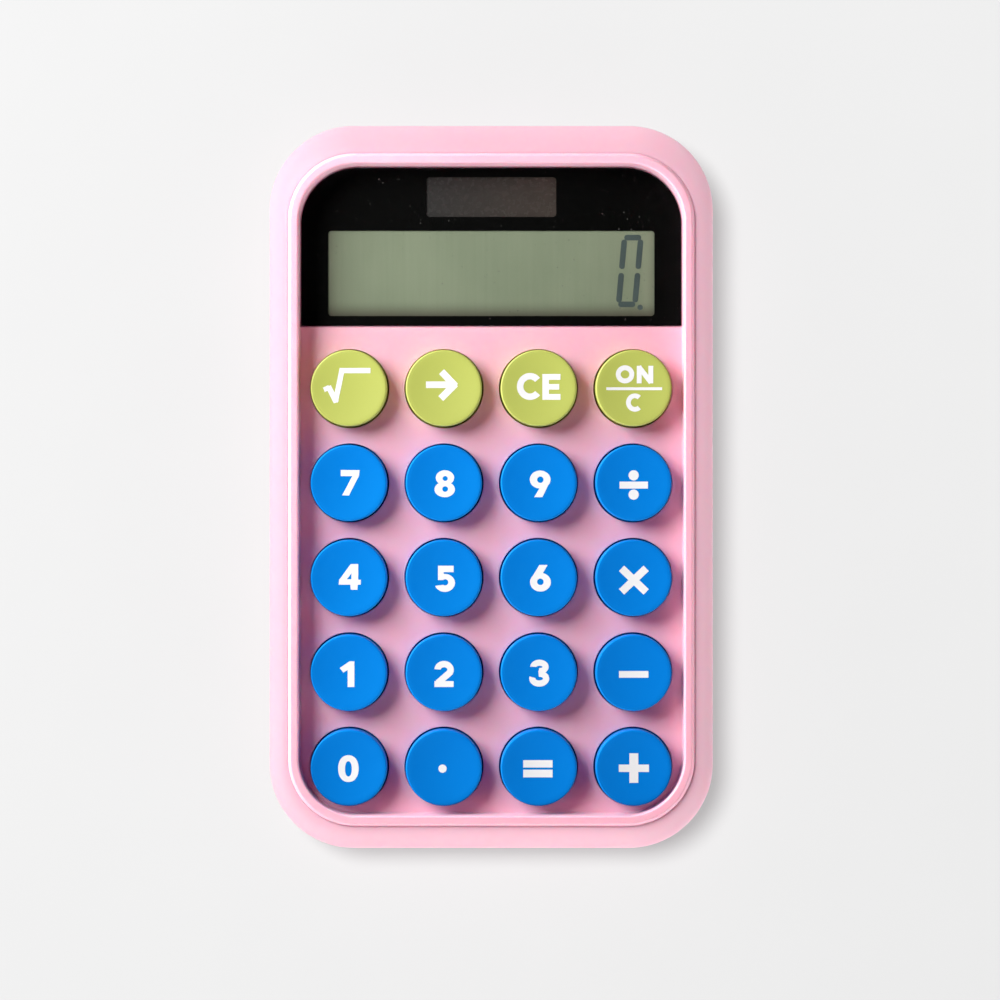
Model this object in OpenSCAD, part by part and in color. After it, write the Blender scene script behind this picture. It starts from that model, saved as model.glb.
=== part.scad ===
// Pocket-sized desk calculator with a solar window, a one-line display and twenty round keys.
// Millimetres, +Z up, +Y towards the display, origin under the middle of the case on the surface.

/* [Case] */
// Width across the outer case
body_w = 89.6; // [89:0.2:92]
// Length of the outer case
body_l = 146; // [145:0.5:150]
// Height from the surface to the top of the rim
body_h = 18; // [18:0.25:20]
// Corner radius of the outer case
corner_r = 17; // [16:0.5:18]
// Wall thickness of the outer case
wall = 2.2; // [1.8:0.1:2.4]
// How far the rubber feet stand out under the case
foot_h = 1; // [0.6:0.1:1.4]

/* [Cover] */
// Width across the inset cover
cover_w = 81.5; // [81.2:0.1:81.8]
// Length of the inset cover
cover_l = 134.8; // [134.4:0.1:135.2]
// Depth of the recess below the rim
recess_d = 4.5; // [4.2:0.1:4.6]
// Width of the rim from its inner edge to the parting groove
rim_w = 2.05; // [1.9:0.05:2.2]
// Gap between the cover and the case round the parting groove
parting_gap = 0.1; // [0.08:0.02:0.2]

/* [Keys] */
// Distance between neighbouring keys
key_pitch = 19.05; // [19:0.05:19.15]
// Diameter of a key
key_d = 15.3; // [15:0.1:15.4]
// How far a key stands above the plate
key_proud = 3.3; // [2.8:0.1:3.6]
// Key travel
key_travel = 1.5; // [1.2:0.1:1.6]
// Distance of the first row's centre from the case's centre
first_row_y = 19.85; // [19.7:0.05:20]

/* [Display] */
// Distance of the lens's lower edge from the case's centre
lens_edge_y = 32.5; // [32.2:0.1:32.6]
// Display window width
lcd_window_w = 66; // [64:0.2:66.4]
// Display window height
lcd_window_h = 17.25; // [16.8:0.05:17.3]
// Solar window width
solar_window_w = 26.3; // [24:0.1:26.6]
// Solar window height
solar_window_h = 8.05; // [7.6:0.05:8.1]

/* [Battery] */
// Diameter of the button cell
cell_d = 11.6; // [11.4:0.1:11.8]
// Slide of the battery door
door_slide = 4; // [3:0.5:4]

/* [Hidden] */
$fn = 48;
cut = 0.5; // overshoot of a cutting solid past the face it opens

// Heights, from the surface up
floor_z = foot_h;
floor_t = 2;
inner_floor_z = floor_z + floor_t;
rim_z = body_h;
plate_z = rim_z - recess_d;
plate_t = 1.5;
plate_under_z = plate_z - plate_t;
case_top_z = rim_z - 1.4;
shoulder_z = rim_z - 5.6;
ledge_z = rim_z - 8;
board_z = plate_under_z - 5.8;
board_t = 1.6;
board_top_z = board_z + board_t;
sheet_t = 0.8;
flange_t = 1;
flange_gap = 0.05;
key_under_z = plate_under_z - flange_gap - flange_t;
key_top_z = plate_z + key_proud;
dome_top_z = key_under_z - 0.03;

// Cover outline
cover_y = -0.5;
cover_hx = cover_w / 2;
cover_hy = cover_l / 2;
cover_r = 13.4;
rim_slope = 0.7;
rim_slope_h = 1;
sheet_edge = 0.02; // thickness of the two outlines that the sloped rim is stretched between
recess_hx = cover_hx - rim_w;
recess_hy = cover_hy - rim_w;
recess_r = cover_r - rim_w + 0.35;
skirt_z = board_top_z + 0.2;
opening_hx = cover_hx + parting_gap;
opening_hy = cover_hy + parting_gap;
opening_r = cover_r + parting_gap;

// Case outline
case_hx = body_w / 2;
case_hy = body_l / 2;
lip = 0.2;
lip_hx = opening_hx + lip;
lip_hy = opening_hy + lip;
lip_r = opening_r + lip;
shoulder_power = 1.5; // 2 rounds the shoulder fully, 1 makes it a flat bevel
shoulder_steps = 9;
base_round = 2.6;
base_steps = 4;
arc_steps = 12;

// Keys
columns = 4;
rows = 5;
key_r = key_d / 2;
key_hole_r = key_r + 0.3;
key_flange_r = 8.9;
key_flat = 8.5;
key_wall = 1.3;
key_top_t = 1.5;
key_chamfer = 0.3;
plunger_r = 2.4;
rib_t = 1.6;
rib_h = 1.8;
dome_r = 5.6;
dome_top_r = 3.1;
dome_hollow_r = 4.6;
dome_hollow_top_r = 2.4;
dome_hollow_h = key_travel + 0.6;
function key_x(column) = (column - (columns - 1) / 2) * key_pitch;
function key_y(row) = first_row_y - row * key_pitch;

// Display
lens_t = 1;
lens_gap = 0.2;
lens_z = plate_z - 0.1 - lens_t;
ink_t = 0.09;
tape_t = 0.09;
ink_z = lens_z - 0.01 - ink_t;
tape_z = ink_z - 0.01 - tape_t;
seat_z = tape_z - 0.01;
seat_t = 1.4;
seat_under_z = seat_z - seat_t;
lcd_window_y = 43.2;
solar_window_y = 58.65;
window_r = 0.7;
polarizer_t = 0.15;
polarizer_z = ink_z - 0.05 - polarizer_t;
lcd_glass_t = 0.7;
lcd_hx = 35;
lcd_low_y = 32.9;
lcd_high_y = 53.2;
lcd_ledge = 1.4;
lcd_top_z = polarizer_z;
lcd_ledge_z = lcd_top_z - lcd_glass_t;
lcd_z = lcd_ledge_z - lcd_glass_t;
reflector_t = 0.1;
lcd_fit = 0.15;
lcd_frame_t = 0.75;
lcd_frame_top_z = seat_under_z - 0.1;
strip_w = 1.1;
solar_w = 28.4;
solar_h = 8.6;
solar_t = 1.05;
solar_z = ink_z - 0.05 - solar_t;
pane_fit = 0.15;
pad_w = 22;
pad_h = 6;
wire_r = 0.35;
solar_wire_reach = 3.6;

// Screws: the housing screws come up from the back, the board screws up through the board
gap_y = first_row_y - key_pitch / 2;
housing_screws_at = [
    [-key_pitch, gap_y], [key_pitch, gap_y],
    [-key_pitch, gap_y - 3 * key_pitch], [key_pitch, gap_y - 3 * key_pitch],
    [-30, 59.5], [30, 59.5]
];
board_screws_at = [
    [0, gap_y], [-key_pitch, gap_y - key_pitch], [key_pitch, gap_y - key_pitch],
    [-key_pitch, gap_y - 2 * key_pitch], [key_pitch, gap_y - 2 * key_pitch], [0, gap_y - 3 * key_pitch]
];
screw_r = 1;
screw_head_r = 1.9;
screw_head_h = 1.3;
screw_slot_r = 0.85;
screw_slot_d = 0.7;
tower_r = 3.4;
tower_top_z = board_z - 0.2;
tower_web = 1.5;
head_seat_z = tower_top_z - tower_web;
counterbore_r = 2.2;
boss_r = 2.5;
boss_hole_r = 2.9;
pilot_gap = 0.03;
pilot_end_z = seat_under_z - 0.2;
screw_end_z = pilot_end_z - 0.6;
board_screw_r = 0.8;
board_head_r = 1.6;
board_head_h = 0.9;
board_boss_r = 2;
board_boss_hole_r = 2.4;
board_pilot_end_z = plate_under_z - 0.2;
board_screw_end_z = board_pilot_end_z - 0.8;

// Board outline
board_hx = 38;
board_low_y = -65;
board_high_y = 64;
board_r = 9;
sheet_hx = 37.6;
sheet_low_y = -64.6;
sheet_high_y = 29.6;

// Parts under the board
chip_at = [-20, 44];
capacitor_at = [20, 46];
capacitor_r = 1.45;
capacitor_l = 5;
resistors_at = [[-24, 26], [-20, 26], [22, 30]];
resistor_size = [2, 1.25, 0.5];

// Feet
foot_r = 4;
foot_pocket = 0.8;
feet_at = [[-34, -52], [34, -52], [-34, 52], [34, 52]];

// Battery bay
bay_y = 38;
cell_r = cell_d / 2;
cell_t = 3.05;
cap_t = 0.5;
cap_in = 1.1;
bay_r = cell_r + 0.3;
bay_wall = 1.2;
bay_pad_t = 0.6;
door_hx = 7.55;
door_hy = 9;
door_fit = 0.15;
door_face_t = 0.7;
door_tongue = 1;
door_tongue_t = 0.9;
lips_z = floor_z + door_face_t;
door_top_z = lips_z + 0.05 + door_tongue_t;
bay_roof_z = door_top_z + 0.05;
cell_z = bay_roof_z;
cell_top_z = cell_z + cell_t;
bay_top_z = cell_top_z;
leaf_t = 0.15;
leaf_w = 3.6;
leaf_tail = 9.6;
grip_ridges = 5;
grip_pitch = 1.4;
grip_w = 0.6;
grip_d = 0.3;

pink = [0.93, 0.74, 0.82];
blue = [0.0, 0.5, 0.92];
lime = [0.78, 0.82, 0.38];

// Rounded rectangle about the origin from its half sizes
module round_rect(hx, hy, r) {
    square([2 * (hx - r), 2 * hy], center = true);
    square([2 * hx, 2 * (hy - r)], center = true);
    for (sx = [-1, 1], sy = [-1, 1])
        translate([sx * (hx - r), sy * (hy - r)])
            circle(r = r);
}

// Upright prism with rounded corners between two heights
module round_block(hx, hy, r, y, z0, z1) {
    translate([0, y, z0])
        linear_extrude(height = z1 - z0)
            round_rect(hx, hy, r);
}

// Plain block between two corners
module block(low, high) {
    translate(low)
        cube(high - low);
}

// Upright cylinder between two heights
module post(at, r, z0, z1) {
    translate([at[0], at[1], z0])
        cylinder(r = r, h = z1 - z0);
}

// Points round a rounded rectangle at one height, counter-clockwise from above
function ring(hx, hy, r, y, z) = [
    for (corner = [0:3], step = [0:arc_steps])
        let (
            a = 90 * (corner + step / arc_steps),
            sx = corner == 0 || corner == 3 ? 1 : -1,
            sy = corner < 2 ? 1 : -1
        )
        [sx * (hx - r) + r * cos(a), y + sy * (hy - r) + r * sin(a), z]
];

// Solid skin through a stack of rings, lowest first
module loft(rings) {
    n = len(rings[0]);
    last = len(rings) - 1;
    lower = [for (level = [0:last - 1], i = [0:n - 1])
        [level * n + i, level * n + (i + 1) % n, (level + 1) * n + (i + 1) % n]];
    upper = [for (level = [0:last - 1], i = [0:n - 1])
        [level * n + i, (level + 1) * n + (i + 1) % n, (level + 1) * n + i]];
    base = [[for (i = [0:n - 1]) n - 1 - i]];
    lid = [[for (i = [0:n - 1]) last * n + i]];
    points = [for (one = rings) each one];
    clockwise = [for (face = concat(lower, upper, base, lid)) [for (i = [len(face) - 1:-1:0]) face[i]]];
    polyhedron(points = points, faces = clockwise);
}

// Window outline with small corner radii
module window_block(w, h, y, z0, z1) {
    round_block(w / 2, h / 2, window_r, y, z0, z1);
}

// Openings that the display glass and the solar cell stand in, right under the lens
module pane_windows(z0, z1) {
    fit = 2 * pane_fit;
    window_block(2 * lcd_hx + fit, lcd_high_y - lcd_low_y + fit, (lcd_high_y + lcd_low_y) / 2, z0, z1);
    window_block(solar_w + fit, solar_h + fit, solar_window_y, z0, z1);
}

// Outline of the lens: round at the top corners, straight along its lower edge
module lens_block(gap, z0, z1) {
    intersection() {
        round_block(recess_hx - gap, recess_hy - gap, recess_r - gap, cover_y, z0, z1);
        block([-body_w, lens_edge_y, z0 - 1], [body_w, body_l, z1 + 1]);
    }
}

// Solid outer shape of the case: rounded base, upright sides, rounded shoulder up to the groove
module case_solid() {
    base_rings = [for (i = [0:base_steps])
        let (a = 90 * i / base_steps, inset = base_round * (1 - sin(a)))
        ring(case_hx - inset, case_hy - inset, corner_r - inset, 0, floor_z + base_round * (1 - cos(a)))];
    shoulder_rings = [for (i = [0:shoulder_steps])
        let (
            a = 90 * i / shoulder_steps,
            f = 1 - pow(cos(a), 2 / shoulder_power),
            rise = pow(sin(a), 2 / shoulder_power)
        )
        ring(
            case_hx + (lip_hx - case_hx) * f,
            case_hy + (lip_hy - case_hy) * f,
            corner_r + (lip_r - corner_r) * f,
            cover_y * f,
            shoulder_z + (case_top_z - shoulder_z) * rise
        )];
    loft(concat(base_rings, shoulder_rings));
}

module rear_case() {
    door_slot_high = bay_y + door_hy + door_slide + 2 * door_fit;
    door_slot_low = bay_y - door_hy - door_fit;
    color(pink)
    difference() {
        union() {
            difference() {
                case_solid();
                round_block(case_hx - wall, case_hy - wall, corner_r - wall, 0, inner_floor_z, ledge_z);
                round_block(opening_hx, opening_hy, opening_r, cover_y, ledge_z - cut, rim_z + cut);
            }
            for (at = housing_screws_at)
                post(at, tower_r, inner_floor_z - cut, tower_top_z);
            block([-door_hx - 4, door_slot_low - 2, inner_floor_z - cut],
                  [door_hx + 4, door_slot_high + 2, bay_roof_z + bay_pad_t]);
            post([0, bay_y], bay_r + bay_wall, inner_floor_z - cut, bay_top_z);
        }
        for (at = housing_screws_at) {
            post(at, counterbore_r, floor_z - cut, head_seat_z);
            post(at, screw_r + 0.15, head_seat_z - cut, tower_top_z + cut);
        }
        for (at = feet_at)
            post(at, foot_r + 0.1, floor_z - cut, floor_z + foot_pocket);
        block([-door_hx - door_fit, door_slot_low, floor_z - cut],
              [door_hx + door_fit, door_slot_high, bay_roof_z]);
        block([-door_hx - door_tongue - door_fit, door_slot_low, lips_z],
              [door_hx + door_tongue + door_fit, door_slot_high, bay_roof_z]);
        post([0, bay_y], bay_r, bay_roof_z - cut, bay_top_z + cut);
        block([bay_r - 1, bay_y - leaf_w / 2 - 0.2, bay_roof_z + bay_pad_t],
              [bay_r + bay_wall + 1, bay_y + leaf_w / 2 + 0.2, bay_top_z + cut]);
    }
}

module top_cover() {
    slope_z = rim_z - rim_slope_h;
    color(pink)
    difference() {
        union() {
            difference() {
                union() {
                    round_block(cover_hx, cover_hy, cover_r, cover_y, skirt_z, slope_z);
                    hull() {
                        round_block(cover_hx, cover_hy, cover_r, cover_y, slope_z - sheet_edge, slope_z);
                        round_block(cover_hx - rim_slope, cover_hy - rim_slope, cover_r - rim_slope,
                                    cover_y, rim_z - sheet_edge, rim_z);
                    }
                }
                difference() {
                    round_block(recess_hx, recess_hy, recess_r, cover_y, skirt_z - cut, rim_z + cut);
                    block([-body_w, -body_l, plate_under_z], [body_w, lens_edge_y - lens_gap, plate_z]);
                    block([-body_w, lens_edge_y - 1.4, seat_under_z], [body_w, body_l, seat_z]);
                    block([-body_w, lens_edge_y - 1.4, seat_under_z],
                          [body_w, lens_edge_y - lens_gap, plate_z]);
                }
            }
            for (x = [-key_pitch, 0, key_pitch])
                block([x - rib_t / 2, cover_y - recess_hy - 0.5, plate_under_z - rib_h],
                      [x + rib_t / 2, first_row_y + 8.6, plate_under_z + 0.2]);
            for (at = housing_screws_at)
                post(at, boss_r, tower_top_z + 0.05, seat_under_z + 0.3);
            for (i = [0:3])
                post(housing_screws_at[i], boss_r, seat_under_z, plate_under_z + 0.2);
            for (at = board_screws_at)
                post(at, board_boss_r, board_top_z + 0.05, plate_under_z + 0.2);
        }
        for (row = [0:rows - 1], column = [0:columns - 1])
            post([key_x(column), key_y(row)], key_hole_r, plate_under_z - cut, rim_z);
        for (at = housing_screws_at)
            post(at, screw_r + pilot_gap, tower_top_z - cut, pilot_end_z);
        for (at = board_screws_at)
            post(at, board_screw_r + pilot_gap, board_top_z - cut, board_pilot_end_z);
        pane_windows(seat_under_z - cut, seat_z + cut);
    }
}

module display_lens() {
    color([0.1, 0.1, 0.1, 0.4])
        lens_block(lens_gap, lens_z, lens_z + lens_t);
}

module lens_print() {
    color([0.03, 0.03, 0.03])
    difference() {
        lens_block(lens_gap + 0.1, ink_z, ink_z + ink_t);
        window_block(lcd_window_w, lcd_window_h, lcd_window_y, ink_z - cut, ink_z + cut);
        window_block(solar_window_w, solar_window_h, solar_window_y, ink_z - cut, ink_z + cut);
    }
}

module lens_tape() {
    color([0.15, 0.15, 0.15])
    difference() {
        lens_block(lens_gap + 0.4, tape_z, tape_z + tape_t);
        pane_windows(tape_z - cut, tape_z + cut);
    }
}

module lcd_polarizer() {
    color([0.5, 0.54, 0.44, 0.6])
        block([-lcd_hx + 0.4, lcd_low_y + 0.9, polarizer_z],
              [lcd_hx - 0.4, lcd_high_y - 0.3, polarizer_z + polarizer_t]);
}

module lcd_glass() {
    color([0.6, 0.65, 0.55, 0.7])
    union() {
        block([-lcd_hx, lcd_low_y, lcd_ledge_z], [lcd_hx, lcd_high_y, lcd_top_z]);
        block([-lcd_hx, lcd_low_y + lcd_ledge, lcd_z], [lcd_hx, lcd_high_y, lcd_ledge_z]);
    }
}

module lcd_reflector() {
    color([0.55, 0.6, 0.5])
        block([-lcd_hx + 0.4, lcd_low_y + lcd_ledge + 0.3, lcd_z - reflector_t],
              [lcd_hx - 0.4, lcd_high_y - 0.3, lcd_z]);
}

module lcd_frame() {
    outer = lcd_fit + lcd_frame_t;
    color([0.85, 0.85, 0.83])
    difference() {
        block([-lcd_hx - outer, lcd_low_y - outer, board_top_z],
              [lcd_hx + outer, lcd_high_y + outer, lcd_frame_top_z]);
        block([-lcd_hx - lcd_fit, lcd_low_y - lcd_fit, board_top_z - cut],
              [lcd_hx + lcd_fit, lcd_high_y + lcd_fit, lcd_frame_top_z + cut]);
    }
}

// Rubber strip that carries the display's signals up from the board to the glass ledge
module connector_strip() {
    color([0.9, 0.55, 0.65])
        block([-lcd_hx + 1, lcd_low_y + 0.2, board_top_z],
              [lcd_hx - 1, lcd_low_y + 0.2 + strip_w, lcd_ledge_z]);
}

module solar_cell() {
    color([0.2, 0.17, 0.16])
        block([-solar_w / 2, solar_window_y - solar_h / 2, solar_z],
              [solar_w / 2, solar_window_y + solar_h / 2, solar_z + solar_t]);
}

module solar_pad() {
    color([0.3, 0.3, 0.3])
        block([-pad_w / 2, solar_window_y - pad_h / 2, board_top_z],
              [pad_w / 2, solar_window_y + pad_h / 2, solar_z]);
}

// One stretch of wire along X from the point at, with round ends
module wire_x(at, length) {
    translate(at)
        rotate([0, 90, 0])
            cylinder(r = wire_r, h = length);
}

// Two wires, each down from the end of the cell, outwards and down to the board
module solar_wires() {
    knee_z = (solar_z + board_top_z) / 2;
    color([0.75, 0.1, 0.1])
    for (side = [0, 1])
        mirror([side, 0, 0]) {
            inner = [solar_w / 2 - 0.8, solar_window_y, knee_z];
            outer = inner + [solar_wire_reach, 0, 0];
            post(inner, wire_r, knee_z, solar_z);
            wire_x(inner, solar_wire_reach);
            post(outer, wire_r, board_top_z, knee_z);
            translate(inner) sphere(r = wire_r);
            translate(outer) sphere(r = wire_r);
        }
}

module circuit_board() {
    mid_y = (board_low_y + board_high_y) / 2;
    color([0.1, 0.4, 0.2])
    difference() {
        round_block(board_hx, (board_high_y - board_low_y) / 2, board_r, mid_y, board_z, board_top_z);
        for (at = housing_screws_at)
            post(at, boss_hole_r, board_z - cut, board_top_z + cut);
        for (at = board_screws_at)
            post(at, board_screw_r + 0.2, board_z - cut, board_top_z + cut);
    }
}

// Epoxy cap over the bonded chip, under the board
module chip_cap() {
    color([0.05, 0.05, 0.05])
    translate([chip_at[0], chip_at[1], board_z - 1.1])
        cylinder(r1 = 3.6, r2 = 5, h = 1.1);
}

module capacitor() {
    color([0.15, 0.2, 0.5])
        wire_can([capacitor_at[0] - capacitor_l / 2, capacitor_at[1], board_z - capacitor_r]);
}

// Small electrolytic can lying on its side
module wire_can(at) {
    translate(at)
        rotate([0, 90, 0])
            cylinder(r = capacitor_r, h = capacitor_l);
}

module resistors() {
    half = resistor_size / 2;
    color([0.1, 0.1, 0.12])
    for (at = resistors_at)
        block([at[0] - half[0], at[1] - half[1], board_z - resistor_size[2]],
              [at[0] + half[0], at[1] + half[1], board_z]);
}

// Silicone sheet with one hollow dome under each key
module keypad_membrane() {
    mid_y = (sheet_low_y + sheet_high_y) / 2;
    color([0.85, 0.85, 0.85])
    difference() {
        union() {
            round_block(sheet_hx, (sheet_high_y - sheet_low_y) / 2, board_r, mid_y,
                        board_top_z, board_top_z + sheet_t);
            for (row = [0:rows - 1], column = [0:columns - 1])
                translate([key_x(column), key_y(row), board_top_z + sheet_t])
                    cylinder(r1 = dome_r, r2 = dome_top_r, h = dome_top_z - board_top_z - sheet_t);
        }
        for (row = [0:rows - 1], column = [0:columns - 1])
            translate([key_x(column), key_y(row), board_top_z - 0.01])
                cylinder(r1 = dome_hollow_r, r2 = dome_hollow_top_r, h = dome_hollow_h);
        for (i = [0:3])
            post(housing_screws_at[i], boss_hole_r, board_top_z - cut, board_top_z + sheet_t + cut);
        for (at = board_screws_at)
            post(at, board_boss_hole_r, board_top_z - cut, board_top_z + sheet_t + cut);
    }
}

// Pan-head screw, point up, with a cross recess in its head
module screw(at, shank_r, head_r, head_h, seat_z, end_z) {
    difference() {
        union() {
            post(at, head_r, seat_z - head_h, seat_z);
            post(at, shank_r, seat_z - 0.1, end_z);
        }
        for (turn = [0, 90])
            translate([at[0], at[1], seat_z - head_h])
                rotate([0, 0, turn])
                    cube([2 * screw_slot_r, 0.4, 2 * screw_slot_d], center = true);
    }
}

module housing_screws() {
    color([0.7, 0.7, 0.72])
    for (at = housing_screws_at)
        screw(at, screw_r, screw_head_r, screw_head_h, head_seat_z, screw_end_z);
}

module board_screws() {
    color([0.7, 0.7, 0.72])
    for (at = board_screws_at)
        screw(at, board_screw_r, board_head_r, board_head_h, board_z, board_screw_end_z);
}

module rubber_feet() {
    color([0.85, 0.85, 0.85])
    for (at = feet_at)
        post(at, foot_r, 0, floor_z + foot_pocket);
}

// Button cell, can down and cap up
module battery_cell() {
    color([0.8, 0.8, 0.82])
    union() {
        post([0, bay_y], cell_r, cell_z, cell_top_z - cap_t);
        post([0, bay_y], cell_r - cap_in, cell_z, cell_top_z - 0.02);
    }
}

// Leaf beside the can, with a tab that leads outwards
module battery_contact_plus() {
    leaf_x = cell_r + 0.03;
    color([0.85, 0.75, 0.4])
    union() {
        block([leaf_x, bay_y - leaf_w / 2, bay_roof_z + bay_pad_t + 0.05],
              [leaf_x + leaf_t, bay_y + leaf_w / 2, bay_top_z]);
        block([leaf_x, bay_y - leaf_w / 2, bay_top_z - leaf_t],
              [leaf_tail, bay_y + leaf_w / 2, bay_top_z]);
    }
}

// Leaf across the cap, resting on the wall of the bay
module battery_contact_minus() {
    color([0.85, 0.75, 0.4])
        block([-leaf_tail, bay_y - leaf_w / 2, bay_top_z],
              [2.4, bay_y + leaf_w / 2, bay_top_z + leaf_t]);
}

// A wire from each contact's tail up to the board
module battery_wires() {
    color([0.1, 0.1, 0.1])
    for (side = [-1, 1]) {
        start_z = side < 0 ? bay_top_z + leaf_t : bay_top_z;
        post([side * (leaf_tail - 1), bay_y], wire_r, start_z, board_z);
    }
}

module battery_door() {
    color(pink)
    difference() {
        union() {
            block([-door_hx, bay_y - door_hy, floor_z], [door_hx, bay_y + door_hy, door_top_z]);
            block([-door_hx - door_tongue, bay_y - door_hy, door_top_z - door_tongue_t],
                  [door_hx + door_tongue, bay_y + door_hy, door_top_z]);
        }
        for (i = [0:grip_ridges - 1]) {
            ridge_y = bay_y + (i - (grip_ridges - 1) / 2) * grip_pitch;
            block([-4, ridge_y - grip_w / 2, floor_z - cut], [4, ridge_y + grip_w / 2, floor_z + grip_d]);
        }
    }
}

// Round key cap with a hollow under its face, a flange that holds it in and a plunger on the dome
module key_cap(row, column, tint) {
    color(tint)
    translate([key_x(column), key_y(row), 0])
    difference() {
        union() {
            post([0, 0], key_r, key_under_z, key_top_z - key_chamfer);
            translate([0, 0, key_top_z - key_chamfer])
                cylinder(r1 = key_r, r2 = key_r - key_chamfer, h = key_chamfer);
            intersection() {
                post([0, 0], key_flange_r, key_under_z, key_under_z + flange_t);
                block([-key_flat, -key_pitch, key_under_z], [key_flat, key_pitch, key_under_z + flange_t]);
            }
        }
        difference() {
            post([0, 0], key_r - key_wall, key_under_z - cut, key_top_z - key_top_t);
            post([0, 0], plunger_r, key_under_z - 2 * cut, key_top_z);
        }
    }
}

rear_case();
top_cover();
display_lens();
lens_print();
lens_tape();
lcd_polarizer();
lcd_glass();
lcd_reflector();
lcd_frame();
connector_strip();
solar_cell();
solar_pad();
solar_wires();
circuit_board();
chip_cap();
capacitor();
resistors();
keypad_membrane();
board_screws();
housing_screws();
rubber_feet();
battery_cell();
battery_contact_plus();
battery_contact_minus();
battery_wires();
battery_door();
key_cap(0, 0, lime);  // key_root
key_cap(0, 1, lime);  // key_backspace
key_cap(0, 2, lime);  // key_clear_entry
key_cap(0, 3, lime);  // key_on_clear
key_cap(1, 0, blue);  // key_7
key_cap(1, 1, blue);  // key_8
key_cap(1, 2, blue);  // key_9
key_cap(1, 3, blue);  // key_divide
key_cap(2, 0, blue);  // key_4
key_cap(2, 1, blue);  // key_5
key_cap(2, 2, blue);  // key_6
key_cap(2, 3, blue);  // key_multiply
key_cap(3, 0, blue);  // key_1
key_cap(3, 1, blue);  // key_2
key_cap(3, 2, blue);  // key_3
key_cap(3, 3, blue);  // key_minus
key_cap(4, 0, blue);  // key_0
key_cap(4, 1, blue);  // key_point
key_cap(4, 2, blue);  // key_equals
key_cap(4, 3, blue);  // key_plus
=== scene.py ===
# Looks of the desk calculator: mesh pieces, procedural materials, light and camera.
# Lengths are millimetres in the code and metres in the scene; +Z is up and +Y is towards the display.
import math

import bmesh
import bpy
from mathutils import Matrix, Vector


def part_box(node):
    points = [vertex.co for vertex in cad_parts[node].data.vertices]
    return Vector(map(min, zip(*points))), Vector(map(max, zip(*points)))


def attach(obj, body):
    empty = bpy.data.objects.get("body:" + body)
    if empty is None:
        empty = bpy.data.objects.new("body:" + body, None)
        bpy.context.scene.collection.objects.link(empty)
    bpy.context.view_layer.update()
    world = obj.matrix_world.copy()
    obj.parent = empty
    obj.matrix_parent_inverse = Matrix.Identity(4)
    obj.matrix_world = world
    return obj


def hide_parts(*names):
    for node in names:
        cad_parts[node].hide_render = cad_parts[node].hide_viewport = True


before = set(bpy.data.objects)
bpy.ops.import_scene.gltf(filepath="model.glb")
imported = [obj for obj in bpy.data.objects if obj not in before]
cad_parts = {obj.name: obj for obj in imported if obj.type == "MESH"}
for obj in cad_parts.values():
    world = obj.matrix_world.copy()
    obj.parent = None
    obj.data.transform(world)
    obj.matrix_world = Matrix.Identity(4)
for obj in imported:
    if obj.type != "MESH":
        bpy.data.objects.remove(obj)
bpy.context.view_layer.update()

MM = 0.001
CORNER_STEPS = 28
ROUND_STEPS = 96
OVERSHOOT = 0.5

KEY_NODES = sorted(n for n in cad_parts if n.startswith("key_"))
LIME_KEYS = ("key_root", "key_backspace", "key_clear_entry", "key_on_clear")


def box_mm(node):
    """Lowest and highest corner of a CAD node in millimetres."""
    low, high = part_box(node)
    return low / MM, high / MM


CASE_LOW, CASE_HIGH = box_mm("rear_case")
COVER_LOW, COVER_HIGH = box_mm("top_cover")
LENS_LOW, LENS_HIGH = box_mm("display_lens")
DOOR_LOW, DOOR_HIGH = box_mm("battery_door")
KEY_LOW, KEY_HIGH = box_mm("key_7")
POLARIZER_TOP_Z = box_mm("lcd_polarizer")[1].z
CELL_LOW, CELL_HIGH = box_mm("battery_cell")
SCREW_HEAD_Z = box_mm("housing_screws")[0].z

# Case
CASE_HX = CASE_HIGH.x
CASE_HY = CASE_HIGH.y
CASE_R = 17.0
WALL = 2.2
FLOOR_Z = CASE_LOW.z
INNER_FLOOR_Z = FLOOR_Z + 2.0
CREST_Z = CASE_HIGH.z
RIM_Z = COVER_HIGH.z
SHOULDER_Z = RIM_Z - 5.6
SHOULDER_POWER = 1.5
LEDGE_Z = RIM_Z - 8.0
BASE_ROUND = 2.6
PARTING = 0.08
LIP = 0.3
CREST_R = 0.12

# Cover
COVER_Y = (COVER_HIGH.y + COVER_LOW.y) / 2
COVER_HX = COVER_HIGH.x
COVER_HY = (COVER_HIGH.y - COVER_LOW.y) / 2
COVER_R = 13.4
RIM_W = 2.05
SLOPE_W = 0.66
SLOPE_H = 1.0
RIM_FILLET = 0.32
FOOT_FILLET = 0.3
CORNER_EASE = 0.83
SKIRT_Z = COVER_LOW.z
PLATE_Z = LENS_HIGH.z + 0.1
PLATE_T = 1.5
SEAT_Z = LENS_LOW.z - 0.21
SEAT_T = 1.4
LENS_EDGE_Y = LENS_LOW.y
LENS_GAP = 0.2
LIP_EASE = 0.14

# Windows under the lens
LCD_W = 66.0
LCD_H = 17.25
LCD_Y = 43.2
SOLAR_W = 26.3
SOLAR_H = 8.05
SOLAR_Y = 58.65
WINDOW_R = 0.7

# Keys
KEY_R = 7.65
KEY_HOLE_R = KEY_R + 0.3
KEY_TOP_Z = KEY_HIGH.z
KEY_UNDER_Z = KEY_LOW.z
KEY_FLANGE_R = (KEY_HIGH.y - KEY_LOW.y) / 2
KEY_FLAT = (KEY_HIGH.x - KEY_LOW.x) / 2
KEY_FILLET = 0.36
KEY_DISH = 0.45
PRINT_T = 0.02
HOLE_FILLET = 0.12

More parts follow.
